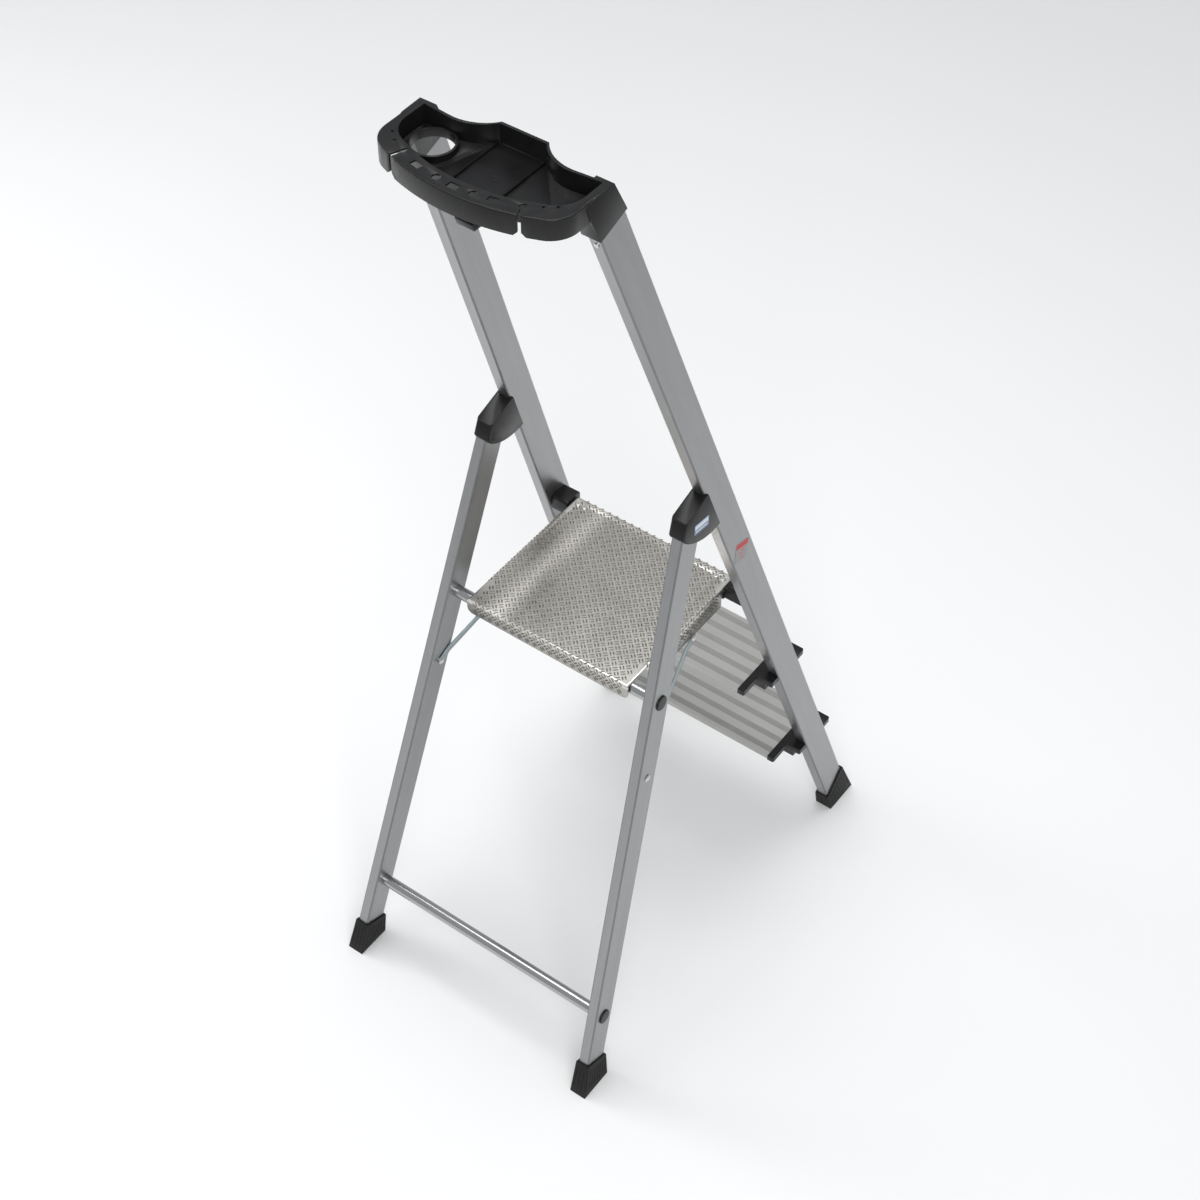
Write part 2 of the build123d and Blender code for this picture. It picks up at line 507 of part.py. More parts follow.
# ---- all nodes ----
keep_pair("front_rail", rail)
keep_pair("rear_leg", leg)
keep_pair("hinge_cover", cover)
keep_pair("hinge_pin", hinge_pin)
keep_pair("brace", brace)
keep_pair("brace_stud", stud)
keep("brace_leg_rivets", both(leg_rivet))
keep("upper_cross_tube", cross_tube(UPPER_TUBE_Z))
keep("lower_cross_tube", cross_tube(LOWER_TUBE_Z))
keep("upper_tube_caps", both(tube_cap(UPPER_TUBE_Z)))
keep("lower_tube_caps", both(tube_cap(LOWER_TUBE_Z)))
keep("platform", platform)
keep_pair("platform_lug", lug)
keep_pair("platform_pivot_pin", pivot_pin)
keep("platform_rivets", Compound(platform_rivets + [mirror(r, about=Plane.YZ) for r in platform_rivets]))
for step, name in ((1, "lower_tread"), (2, "upper_tread")):
    keep(name, tread(step))
    bracket = tread_bracket(step)
    bracket -= bracket_rivet(step)
    keep_pair(name + "_bracket", bracket)
keep("bracket_rivets", Compound([c for step in (1, 2) for c in both(bracket_rivet(step)).solids()]))
front_foot = foot(rail_frame, rail_solid, RAIL_BASE_HALF, RAIL_W, RAIL_D, LEAN_F, 7.0, 7.4, (36, 62))
rear_foot = foot(leg_frame, leg_solid, LEG_BASE_HALF, LEG_W, LEG_D, LEAN_R, 11.9, 1.7, (63, 60))
keep_pair("front_foot", front_foot)
keep_pair("rear_foot", rear_foot)
keep("tool_tray", tray)
keep("bucket_hook", hook)
keep("tray_rivets", both(tray_rivet))
keep("hinge_sticker", mirror(sticker, about=Plane.YZ))
keep("rail_label", mirror(label, about=Plane.YZ))

os.makedirs("parts", exist_ok=True)
for name, shape in parts.items():
    export_step(shape, "parts/" + name + ".step")

print("fold pivot", HINGE_Y, HINGE_Z, "angle", FOLD_ANGLE)
print("platform pivot", PIVOT_Y, PIVOT_Z, "angle", PLATFORM_ANGLE)
print("brace pivot", BRACE_Y, BRACE_Z, "length", BRACE_LEN)
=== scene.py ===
from math import cos, pi, radians, sin

import bmesh
import bpy
from mathutils import Matrix, Vector


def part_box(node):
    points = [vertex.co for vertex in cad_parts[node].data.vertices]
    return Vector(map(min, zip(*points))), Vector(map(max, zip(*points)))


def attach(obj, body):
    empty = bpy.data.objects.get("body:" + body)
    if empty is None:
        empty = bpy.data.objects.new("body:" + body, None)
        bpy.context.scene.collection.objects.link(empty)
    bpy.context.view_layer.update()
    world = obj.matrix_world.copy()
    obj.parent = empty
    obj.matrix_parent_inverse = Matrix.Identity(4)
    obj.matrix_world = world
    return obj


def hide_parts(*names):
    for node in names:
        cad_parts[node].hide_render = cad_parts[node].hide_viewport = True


bl_info = {
    "name": "Folding step ladder",
    "version": (1, 0, 0),
    "blender": (4, 5, 0),
    "location": "3D View > Sidebar > Ladder",
    "description": "Dresses the step ladder frame with its finished surfaces, grip pattern and fittings",
    "category": "Object",
}

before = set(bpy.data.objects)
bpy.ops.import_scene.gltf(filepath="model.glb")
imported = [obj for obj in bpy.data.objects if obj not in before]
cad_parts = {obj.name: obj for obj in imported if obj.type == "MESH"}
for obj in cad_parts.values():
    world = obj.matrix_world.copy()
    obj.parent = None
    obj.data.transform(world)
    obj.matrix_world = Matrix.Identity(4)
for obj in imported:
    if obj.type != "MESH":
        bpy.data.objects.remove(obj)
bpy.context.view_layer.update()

MM = 0.001

# ---- the frame of the ladder, from its own joints and boxes ----
FRONT_LEAN = radians(19.7)
REAR_LEAN = radians(18.4)
STILE_TAPER = radians(3.4)
RAIL_BASE_HALF, FRONT_Y = 239.5 * MM, -331.0 * MM
LEG_BASE_HALF, REAR_Y = 237.757 * MM, 389.5 * MM
RAIL_W, RAIL_D = 20 * MM, 50 * MM
LEG_W, LEG_D = 18 * MM, 44 * MM
BAND_PITCH = 129 * MM / 5
BAND_SHARE = 11.0 / 25.8
LABEL_TURN, STICKER_TURN = radians(-10.3), radians(-4.3)
SHEET_BEND = 4.5 * MM                            # outer radius of the platform's bends
FLANGE_START, FLANGE_END = -84 * MM, 105 * MM    # front and rear ends of its side flanges
PAINTED_STREAK = (95 * MM, 26 * MM)                  # middle and half width of a painted highlight streak across the platform


def stile_matrix(lean, taper, base_x, base_y, side):
    """From a stile's own axes (outer face x = 0, rear face y = 0, z up the stile) to the frame."""
    upright = Matrix.Translation((0.0, base_y, 0.0)) @ Matrix.Rotation(lean, 4, "X")
    local = Matrix.Translation((base_x, 0.0, 0.0)) @ Matrix.Rotation(-taper, 4, "Y")
    flip = Matrix.Diagonal((side, 1.0, 1.0, 1.0))
    return flip @ upright @ local


def rail_matrix(side):
    return stile_matrix(-FRONT_LEAN, STILE_TAPER, RAIL_BASE_HALF, FRONT_Y, side)


def leg_matrix(side):
    return stile_matrix(REAR_LEAN, STILE_TAPER, LEG_BASE_HALF, REAR_Y, side)


# ---- shader writing ----
class Val:
    """A number socket that can be used in Python sums."""

    def __init__(self, tree, socket):
        self.tree, self.socket = tree, socket

    def _math(self, operation, *others):
        node = self.tree.nodes.new("ShaderNodeMath")
        node.operation = operation
        for slot, value in zip(node.inputs, others):
            if isinstance(value, Val):
                self.tree.links.new(value.socket, slot)
            else:
                slot.default_value = value
        return Val(self.tree, node.outputs[0])

    def __add__(self, other):
        return self._math("ADD", self, other)

    __radd__ = __add__

    def __mul__(self, other):
        return self._math("MULTIPLY", self, other)

    __rmul__ = __mul__

    def __sub__(self, other):
        return self._math("SUBTRACT", self, other)

    def __rsub__(self, other):
        return self._math("SUBTRACT", other, self)

    def __truediv__(self, other):
        return self._math("DIVIDE", self, other)

    def __rtruediv__(self, other):
        return self._math("DIVIDE", other, self)

    def at_least(self, other):
        return self._math("MAXIMUM", self, other)

    def at_most(self, other):
        return self._math("MINIMUM", self, other)

    def sine(self):
        return self._math("SINE", self)

    def cosine(self):
        return self._math("COSINE", self)

    def sign(self):
        return self._math("SIGN", self)

    def below(self, other):
        return self._math("LESS_THAN", self, other)

    def above(self, other):
        return self._math("GREATER_THAN", self, other)

    def clip(self):
        """The value held between 0 and 1."""
        return self.at_least(0.0).at_most(1.0)

    def fraction(self):
        return self._math("FRACT", self)

    def size(self):
        return self._math("ABSOLUTE", self)


class Shading:
    """One material's node tree, with its Principled BSDF."""

    def __init__(self, name):
        self.material = bpy.data.materials.new(name)
        self.material.use_nodes = True
        self.tree = self.material.node_tree
        self.surface = next(n for n in self.tree.nodes if n.type == "BSDF_PRINCIPLED")

    def node(self, kind, settings=None, **sockets):
        """Any node: its settings first, then its sockets by name or by number as i0, i1."""
        node = self.tree.nodes.new(kind)
        for key, value in (settings or {}).items():
            setattr(node, key, value)
        for key, value in sockets.items():
            slot = node.inputs[int(key[1:])] if key[0] == "i" and key[1:].isdigit() else node.inputs[key]
            self.feed(slot, value)
        return node

    def feed(self, slot, value):
        if isinstance(value, Val):
            value = value.socket
        if isinstance(value, bpy.types.NodeSocket):
            self.tree.links.new(value, slot)
        else:
            slot.default_value = value

    def value(self, node, output=0):
        return Val(self.tree, node.outputs[output])

    def coords(self, turn=(0.0, 0.0, 0.0), scale=(1.0, 1.0, 1.0), shift=(0.0, 0.0, 0.0)):
        """Object coordinates, turned into a piece's own axes and stretched."""
        place = self.node("ShaderNodeTexCoord").outputs["Object"]
        moved = self.node("ShaderNodeMapping", {"vector_type": "POINT"}, Vector=place, Location=shift)
        turned = self.node("ShaderNodeMapping", {"vector_type": "POINT"},
                           Vector=moved.outputs[0], Rotation=turn)
        return self.node("ShaderNodeMapping", {"vector_type": "POINT"},
                         Vector=turned.outputs[0], Scale=scale).outputs[0]

    def noise(self, coords, scale, detail=3.0, roughness=0.5, distortion=0.0):
        node = self.node("ShaderNodeTexNoise", Vector=coords, Scale=scale, Detail=detail,
                         Roughness=roughness, Distortion=distortion)
        return self.value(node)

    def axes(self, coords):
        node = self.node("ShaderNodeSeparateXYZ", Vector=coords)
        return [self.value(node, i) for i in range(3)]

    def blend(self, mask, low, high):
        """Colour that goes from low to high with the mask."""
        node = self.node("ShaderNodeMix", {"data_type": "RGBA"})
        self.feed(node.inputs[0], mask)
        for slot, colour in ((node.inputs[6], low), (node.inputs[7], high)):
            self.feed(slot, (*colour, 1.0) if isinstance(colour, tuple) else colour)
        return node.outputs[2]

    def bump(self, height, distance, strength=1.0):
        node = self.node("ShaderNodeBump", Height=height, Distance=distance, Strength=strength)
        self.feed(self.surface.inputs["Normal"], node.outputs[0])

    def set(self, **sockets):
        for key, value in sockets.items():
            if isinstance(value, tuple) and len(value) == 3:
                value = (*value, 1.0)
            self.feed(self.surface.inputs[key.replace("_", " ")], value)


def smooth_step(value, low, high):
    """0 below low, 1 above high, straight between."""
    return ((value - low) / (high - low)).clip()


def rolled_metal(name, base, lean, rough, streak_axis, mottle=0.10, streak=0.10, stile=None):
    """Mill finish aluminium: fine draw lines along the stile, cloudy patches and faint scuffs.
    A stile, given by its matrix and width, gets painted shade: dark lines painted where its rear corners
    turn away from the light."""
    s = Shading(name)
    stretch = {"z": (520.0, 520.0, 5.0), "x": (4.0, 520.0, 520.0)}[streak_axis]
    lines = s.noise(s.coords(turn=(lean, 0, 0), scale=stretch), 1.0, detail=4.0, roughness=0.65)
    broad = {"z": (95.0, 95.0, 2.0), "x": (2.0, 95.0, 95.0)}[streak_axis]
    bands = s.noise(s.coords(turn=(lean, 0, 0), scale=broad), 1.0, detail=2.0)
    cloud = s.noise(s.coords(), 22.0, detail=6.0, roughness=0.62, distortion=0.6)
    scuffs = s.noise(s.coords(turn=(0.9, 0.5, 0.3), scale=(300.0, 24.0, 300.0)), 1.0, detail=3.0)
    marks = smooth_step(scuffs, 0.66, 0.74) * smooth_step(cloud, 0.42, 0.62)
    shade = 1.0 + streak * (lines - 0.5) + 1.3 * streak * (bands - 0.5) + mottle * (cloud - 0.5)
    # painted shade: a dark line painted along each rear corner of the stile, standing in for the darker
    # reflection where the rounded metal turns
    if stile:
        matrix, width = stile
        place = s.axes(s.coords())
        place[0] = place[0].size()
        out, back = (sum((place[i] * row[i] for i in range(3)), row[3]) for row in matrix.inverted()[:2])
        turned = 2.2 * MM
        painted_corner_shade = (out.above(-turned) + out.below(turned - width)).clip() * back.above(-turned)
        shade = shade - 0.7 * painted_corner_shade
    tone = (shade * 0.5).clip()
    dark = tuple(0.5 * c for c in base)
    light = tuple(min(1.0, 1.5 * c) for c in base)
    s.set(Base_Color=s.blend(tone, dark, light), Metallic=1.0,
          Roughness=(rough + 0.16 * (cloud - 0.5) + 0.10 * (lines - 0.5) - 0.06 * marks).clip())
    s.bump(lines * 0.7 + bands * 0.5 + cloud * 0.4 - marks * 0.6, 0.00010, 0.35)
    return s.material


def moulded_plastic(name, base, rough, grain=900.0, depth=0.00005, wear=0.5):
    """Satin black moulding with a fine spark grain and faint handling marks."""
    s = Shading(name)
    fine = s.noise(s.coords(), grain, detail=3.0, roughness=0.6)
    broad = s.noise(s.coords(), 34.0, detail=4.0)
    rubs = s.noise(s.coords(turn=(0.3, 0.7, 0.2), scale=(420.0, 30.0, 420.0)), 1.0, detail=2.0)
    rub_marks_and_painted_sheen = smooth_step(rubs, 0.64, 0.76) * smooth_step(broad, 0.45, 0.6) * wear
    light = tuple(min(1.0, c * 1.8 + 0.002) for c in base)
    s.set(Base_Color=s.blend((0.35 * broad + 0.25 * rub_marks_and_painted_sheen).clip(), base, light),
          Roughness=(rough + 0.18 * (broad - 0.5) + 0.14 * (fine - 0.5) - 0.08 * rub_marks_and_painted_sheen).clip(),
          Specular_IOR_Level=0.30)
    s.bump(fine + broad * 0.3, depth, 0.5)
    return s.material


def tread_metal(name, base, nose_y):
    """Extruded tread: brushed along its length, each ridged band rougher, and painted darker as painted
    shade for its fine ridges.
    """
    s = Shading(name)
    lines = s.noise(s.coords(scale=(5.0, 700.0, 700.0)), 1.0, detail=4.0, roughness=0.6)
    cloud = s.noise(s.coords(), 18.0, detail=5.0)
    across = s.axes(s.coords())[1]
    place = ((across - nose_y) / BAND_PITCH).fraction()
    band = 1.0 - smooth_step((place - 0.5).size(), 0.5 * BAND_SHARE - 0.02, 0.5 * BAND_SHARE + 0.02)
    # painted shade: the ridged bands are painted darker, standing in for the shade between their fine ridges
    tone = (0.56 + 0.14 * (lines - 0.5) + 0.14 * (cloud - 0.5) - 0.20 * band).clip()
    s.set(Base_Color=s.blend(tone, tuple(0.5 * c for c in base), tuple(min(1.0, 1.5 * c) for c in base)),
          Metallic=1.0, Roughness=(0.36 + 0.12 * (lines - 0.5) + 0.10 * band).clip())
    s.bump(lines + 0.4 * cloud, 0.00008, 0.35)
    return s.material


def pressed_sheet(name, base, top, painted_light):
    """Embossed aluminium sheet: warm bright grey, with painted shade on its flanges, a painted highlight
    along its bends and a painted highlight streak across the top.
    """
    s = Shading(name)
    cloud = s.noise(s.coords(), 26.0, detail=6.0, roughness=0.6)
    fine = s.noise(s.coords(), 420.0, detail=3.0)
    x, y, z = s.axes(s.coords())
    drop = top - z
    # painted shade: the turned-down flanges are painted darker, for the darker reflection they catch
    flange = smooth_step(drop, 4.0 * MM, 7.0 * MM)
    # painted highlight: a bright line painted along each bend
    bend = smooth_step(drop, 0.5 * MM, 1.3 * MM) * (1.0 - smooth_step(drop, 3.0 * MM, 4.4 * MM))
    # painted highlight: a bright streak painted across the top of the sheet, where a lamp's reflection would
    # fall
    rub_marks_and_painted_sheen = (1.0 - smooth_step((x - painted_light[0]).size(), 0.0, painted_light[1])) * (1.0 - flange)
    tone = (0.5 + 0.22 * (cloud - 0.5) + 0.16 * (fine - 0.5) - 0.34 * flange + 0.32 * bend
            + 0.34 * rub_marks_and_painted_sheen).clip()
    s.set(Base_Color=s.blend(tone, tuple(0.5 * c for c in base), tuple(min(1.0, 1.5 * c) for c in base)),
          Metallic=1.0, Roughness=(0.30 + 0.16 * (cloud - 0.5) + 0.10 * (fine - 0.5) + 0.12 * rub_marks_and_painted_sheen).clip())
    s.bump(fine + 0.5 * cloud, 0.00006, 0.4)
    return s.material


def plated_steel(name, base, rough):
    """Zinc plate: bluish, with small crystalline patches and fine scratches."""
    s = Shading(name)
    flakes = s.node("ShaderNodeTexVoronoi", Vector=s.coords(), Scale=260.0)
    patch = s.noise(s.coords(), 60.0, detail=4.0)
    scratch = s.noise(s.coords(turn=(0.5, 0.2, 0.0), scale=(900.0, 40.0, 900.0)), 1.0, detail=2.0)
    tone = (0.5 + 0.18 * (s.value(flakes) - 0.4) + 0.25 * (patch - 0.5)).clip()
    s.set(Base_Color=s.blend(tone, tuple(0.6 * c for c in base), tuple(min(1.0, 1.4 * c) for c in base)),
          Metallic=1.0, Roughness=(rough + 0.20 * (patch - 0.5) + 0.08 * (scratch - 0.5)).clip())
    s.bump(scratch + patch, 0.00006, 0.4)
    return s.material


def printed_film(name, base, rough, centre, turn, marks):
    """Thin printed film with an uneven sheen and scuffed ink. Marks are plain oblong patches:
    middle along and across the film, half sizes, colour."""
    s = Shading(name)
    cloud = s.noise(s.coords(), 90.0, detail=3.0)
    specks = smooth_step(s.noise(s.coords(), 900.0, detail=2.0), 0.66, 0.72)
    tone = (0.5 + 0.2 * (cloud - 0.5) + 0.2 * specks).clip()
    colour = s.blend(tone, tuple(0.85 * c for c in base), tuple(min(1.0, 1.15 * c + 0.02) for c in base))
    across, along = s.axes(s.coords(turn=(turn, 0, 0), shift=tuple(-c for c in centre)))[1:]
    for mid_across, mid_along, half_across, half_along, ink in marks:
        inside = ((across - mid_across * MM).size().below(half_across * MM)
                  * (along - mid_along * MM).size().below(half_along * MM))
        colour = s.blend(inside * (1.0 - 0.5 * specks), colour, ink)
    s.set(Base_Color=colour, Roughness=(rough + 0.15 * (cloud - 0.5)).clip())
    s.bump(cloud, 0.00003, 0.3)
    return s.material


# ---- geometry nodes writing ----
class Build:
    """A geometry node tree with named inputs, and the shorthand to add nodes to it."""

    def __init__(self, name):
        self.tree = bpy.data.node_groups.new(name, "GeometryNodeTree")
        self.tree.interface.new_socket("Geometry", in_out="INPUT", socket_type="NodeSocketGeometry")
        self.tree.interface.new_socket("Geometry", in_out="OUTPUT", socket_type="NodeSocketGeometry")
        self.inputs = self.tree.nodes.new("NodeGroupInput")
        self.output = self.tree.nodes.new("NodeGroupOutput")
        self.sizes = {}

    def size(self, name, value, kind="NodeSocketFloat"):
        """A named input of the tree, given its value when the tree is run."""
        item = self.tree.interface.new_socket(name, in_out="INPUT", socket_type=kind)
        self.sizes[item.identifier] = value
        return Val(self.tree, self.inputs.outputs[name])

    def node(self, kind, settings=None, **sockets):
        node = self.tree.nodes.new(kind)
        for key, value in (settings or {}).items():
            setattr(node, key, value)
        for key, value in sockets.items():
            slot = node.inputs[int(key[1:])] if key[0] == "i" and key[1:].isdigit() else node.inputs[
                key.replace("_", " ")]
            self.feed(slot, value)
        return node

    def feed(self, slot, value):
        if isinstance(value, Val):
            value = value.socket
        if isinstance(value, bpy.types.NodeSocket):
            self.tree.links.new(value, slot)
        else:
            slot.default_value = value

    def finish(self, geometry, material):
        """Ends the tree in Realize Instances and Set Material."""
        real = self.node("GeometryNodeRealizeInstances", Geometry=geometry)
        done = self.node("GeometryNodeSetMaterial", Geometry=real.outputs[0], Material=material)
        self.tree.links.new(done.outputs[0], self.output.inputs[0])

    def run(self, name, seed_mesh):
        """Runs the tree on a mesh and returns the result as a plain mesh object."""
        holder = bpy.data.objects.new(name + "_work", seed_mesh)
        bpy.context.scene.collection.objects.link(holder)
        modifier = holder.modifiers.new("build", "NODES")
        modifier.node_group = self.tree
        for identifier, value in self.sizes.items():
            modifier[identifier] = value
        holder.update_tag()
        graph = bpy.context.evaluated_depsgraph_get()
        mesh = bpy.data.meshes.new_from_object(holder.evaluated_get(graph), depsgraph=graph)
        bpy.data.objects.remove(holder)
        mesh.name = name
        piece = bpy.data.objects.new(name, mesh)
        bpy.context.scene.collection.objects.link(piece)
        return piece


def new_piece(name, mesh):
    piece = bpy.data.objects.new(name, mesh)
    bpy.context.scene.collection.objects.link(piece)
    return piece


def softened(node, name, width, segments=2, angle=32.0):
    """A copy of a CAD node with its sharp edges rounded over, which stands for that node."""
    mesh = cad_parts[node].data.copy()
    work = bmesh.new()
    work.from_mesh(mesh)
    bmesh.ops.remove_doubles(work, verts=work.verts, dist=2e-6)
    bmesh.ops.dissolve_limit(work, angle_limit=radians(0.6), verts=work.verts, edges=work.edges)
    work.to_mesh(mesh)
    work.free()
    mesh.materials.clear()
    piece = new_piece(name, mesh)
    bevel = piece.modifiers.new("edge", "BEVEL")
    bevel.width = width
    bevel.segments = segments
    bevel.limit_method = "ANGLE"
    bevel.angle_limit = radians(angle)
    bevel.use_clamp_overlap = True
    graph = bpy.context.evaluated_depsgraph_get()
    done = bpy.data.meshes.new_from_object(piece.evaluated_get(graph), depsgraph=graph)
    piece.modifiers.clear()
    piece.data = done
    smooth_below(piece, 40.0)
    return piece


def smooth_below(piece, angle):
    piece.data.shade_smooth()
    piece.data.set_sharp_from_angle(angle=radians(angle))


def dress(piece, body, material):
    """Gives a new piece its finish and its body."""
    if material is not None:
        piece.data.materials.clear()
        piece.data.materials.append(material)
    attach(piece, body)
    return piece


def paint(nodes, material):
    """Puts a finish on CAD nodes that keep their own shape."""
    for name in nodes:
        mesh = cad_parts[name].data
        if not mesh.materials:
            mesh.materials.append(material)
        for i in range(len(mesh.materials)):
            mesh.materials[i] = material


def stand_in(node, width, body, slot, material, **options):
    """The rounded copy of a node, in place of it."""
    piece = softened(node, node + "_finished", width, **options)
    dress(piece, body, material)
    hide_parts(node)
    return piece


def pair(stem):
    return (stem + "_left", stem + "_right")


# ---- settings that a user would change ----
class LadderFinish(bpy.types.PropertyGroup):
    aluminium: bpy.props.FloatVectorProperty(
        name="Stile aluminium", description="Colour of the rails and legs",
        subtype="COLOR", size=3, min=0.0, max=1.0, default=(0.340, 0.343, 0.350))
    tread: bpy.props.FloatVectorProperty(
        name="Tread aluminium", description="Colour of the treads",
        subtype="COLOR", size=3, min=0.0, max=1.0, default=(0.47, 0.466, 0.452))
    sheet: bpy.props.FloatVectorProperty(
        name="Platform sheet", description="Colour of the embossed platform",
        subtype="COLOR", size=3, min=0.0, max=1.0, default=(0.66, 0.640, 0.60))
    # painted shade: the grip bars are the same metal as the sheet, given a dark colour for the darker
    # reflection off their sloped sides
    bars: bpy.props.FloatVectorProperty(
        name="Grip bars", description="Colour of the worn bars of the platform",
        subtype="COLOR", size=3, min=0.0, max=1.0, default=(0.20, 0.19, 0.168))
    plastic: bpy.props.FloatVectorProperty(
        name="Black plastic", description="Colour of the tray, covers and brackets",
        subtype="COLOR", size=3, min=0.0, max=1.0, default=(0.0045, 0.0045, 0.0050))
    rubber: bpy.props.FloatVectorProperty(
        name="Rubber", description="Colour of the feet",
        subtype="COLOR", size=3, min=0.0, max=1.0, default=(0.0050, 0.0050, 0.0050))
    zinc: bpy.props.FloatVectorProperty(
        name="Zinc plate", description="Colour of the braces",
        subtype="COLOR", size=3, min=0.0, max=1.0, default=(0.33, 0.385, 0.40))
    edge: bpy.props.FloatProperty(
        name="Moulded edge", description="Rounding of the plastic parts' edges",
        subtype="DISTANCE", unit="LENGTH", min=0.0, max=0.002, default=0.0007)


class LadderGrip(bpy.types.PropertyGroup):
    pitch: bpy.props.FloatProperty(
        name="Pitch", description="Distance between pairs of bars that point the same way",
        subtype="DISTANCE", unit="LENGTH", min=0.005, max=0.05, default=0.0138)
    length: bpy.props.FloatProperty(
        name="Bar length", description="Length of one raised bar",
        subtype="DISTANCE", unit="LENGTH", min=0.002, max=0.03, default=0.0086)
    width: bpy.props.FloatProperty(
        name="Bar width", description="Width of one raised bar",
        subtype="DISTANCE", unit="LENGTH", min=0.0005, max=0.01, default=0.0026)
    gap: bpy.props.FloatProperty(
        name="Bar spacing", description="Distance between the two bars of a pair",
        subtype="DISTANCE", unit="LENGTH", min=0.001, max=0.02, default=0.0046)
    height: bpy.props.FloatProperty(
        name="Bar height", description="Height of the bars above the sheet",
        subtype="DISTANCE", unit="LENGTH", min=0.0001, max=0.002, default=0.0008)


class LadderFeet(bpy.types.PropertyGroup):
    ribs: bpy.props.IntProperty(
        name="Side ribs", description="Ribs on each wide face of a foot", min=2, max=20, default=8)
    proud: bpy.props.FloatProperty(
        name="Rib height", description="How far the ribs stand out of a foot",
        subtype="DISTANCE", unit="LENGTH", min=0.0002, max=0.003, default=0.0013)


class LadderStage(bpy.types.PropertyGroup):
    floor: bpy.props.FloatVectorProperty(
        name="Floor", description="Colour of the floor",
        subtype="COLOR", size=3, min=0.0, max=1.0, default=(0.80, 0.80, 0.80))
    key: bpy.props.FloatProperty(
        name="Key light", description="Power of the large soft light",
        unit="POWER", min=0.0, default=95.0)


def finish():
    return bpy.context.scene.ladder_finish


FINISHES = {}


def material(name, make):
    """Each finish is made once and shared by all the pieces that have it."""
    if name not in FINISHES:
        FINISHES[name] = make()
    return FINISHES[name]


def black_plastic():
    return material("black_plastic", lambda: moulded_plastic(
        "black_plastic", tuple(finish().plastic), 0.30))


def rivet_metal():
    return material("rivet_steel", lambda: plated_steel("rivet_steel", (0.62, 0.61, 0.60), 0.26))


# ---- operators ----
class LADDER_OT_stage(bpy.types.Operator):
    """Floor, soft studio light and camera"""
    bl_idname = "ladder.stage"
    bl_label = "Stage"

    def execute(self, context):
        stage = context.scene.ladder_stage
        mesh = bpy.data.meshes.new("floor")
        reach = 14.0
        mesh.from_pydata([(-reach, -reach, 0), (reach, -reach, 0), (reach, reach, 0), (-reach, reach, 0)],
                         [], [(0, 1, 2, 3)])
        floor = new_piece("floor", mesh)
        s = Shading("floor")
        patch = s.noise(s.coords(), 1.3, detail=3.0)
        tint = tuple(stage.floor)
        s.set(Base_Color=s.blend(patch, tint, tuple(min(1.0, c * 1.02) for c in tint)), Roughness=0.75)
        mesh.materials.append(s.material)

        world = bpy.data.worlds.new("studio")
        world.use_nodes = True
        context.scene.world = world
        sky = world.node_tree
        ground = sky.nodes["Background"]
        ground.inputs["Color"].default_value = (0.96, 0.98, 1.0, 1.0)
        ground.inputs["Strength"].default_value = 0.55

        # name, place, aim, width, height, share of the key's power
        for name, place, aim, wide, high, share in (
                ("key", (-2.6, 2.9, 3.6), (0.0, 0.0, 0.8), 2.2, 2.2, 1.0),
                ("overhead", (0.4, -0.4, 4.4), (0.0, 0.0, 0.6), 3.0, 2.0, 0.9),
                ("side", (3.4, 0.6, 2.0), (0.0, 0.0, 0.8), 1.2, 2.6, 0.45)):
            lamp = bpy.data.lights.new(name, "AREA")
            lamp.shape = "RECTANGLE"
            lamp.size, lamp.size_y = wide, high
            lamp.energy = stage.key * share
            light = bpy.data.objects.new(name, lamp)
            light.location = place
            light.rotation_euler = (Vector(aim) - Vector(place)).to_track_quat("-Z", "Y").to_euler()
            context.scene.collection.objects.link(light)

        lens = bpy.data.cameras.new("camera")
        lens.sensor_width = 36.0
        lens.lens = 67.98
        camera = bpy.data.objects.new("camera", lens)
        camera.location = (-1.367421, 1.875554, 3.120034)
        azimuth, elevation = radians(36.404), radians(46.746)
        look = Vector((sin(azimuth) * cos(elevation), -cos(azimuth) * cos(elevation), -sin(elevation)))
        camera.rotation_euler = look.to_track_quat("-Z", "Y").to_euler()
        context.scene.collection.objects.link(camera)
        context.scene.camera = camera
        context.scene.view_settings.view_transform = "Standard"
        return {"FINISHED"}


class LADDER_OT_stiles(bpy.types.Operator):
    """Draw lines and handling marks on the rails and rear legs"""
    bl_idname = "ladder.stiles"
    bl_label = "Rails and legs"

    def execute(self, context):
        base = tuple(finish().aluminium)
        paint(pair("front_rail"), rolled_metal(
            "rail_aluminium", base, FRONT_LEAN, 0.36, "z", mottle=0.30, streak=0.22,
            stile=(rail_matrix(1), RAIL_W)))
        paint(pair("rear_leg"), rolled_metal(
            "leg_aluminium", base, -REAR_LEAN, 0.36, "z", mottle=0.26, streak=0.22,
            stile=(leg_matrix(1), LEG_W)))
        return {"FINISHED"}


class LADDER_OT_tubes(bpy.types.Operator):
    """Bright cross tubes with their domed plastic caps"""
    bl_idname = "ladder.tubes"
    bl_label = "Cross tubes"

    def execute(self, context):
        bright = rolled_metal("tube_aluminium", (0.42, 0.424, 0.43), 0.0, 0.20, "x", mottle=0.06)
        paint(("upper_cross_tube", "lower_cross_tube"), bright)
        for node in ("upper_tube_caps", "lower_tube_caps"):
            stand_in(node, 0.3 * MM, "rear_frame", "black_plastic", black_plastic())
        return {"FINISHED"}


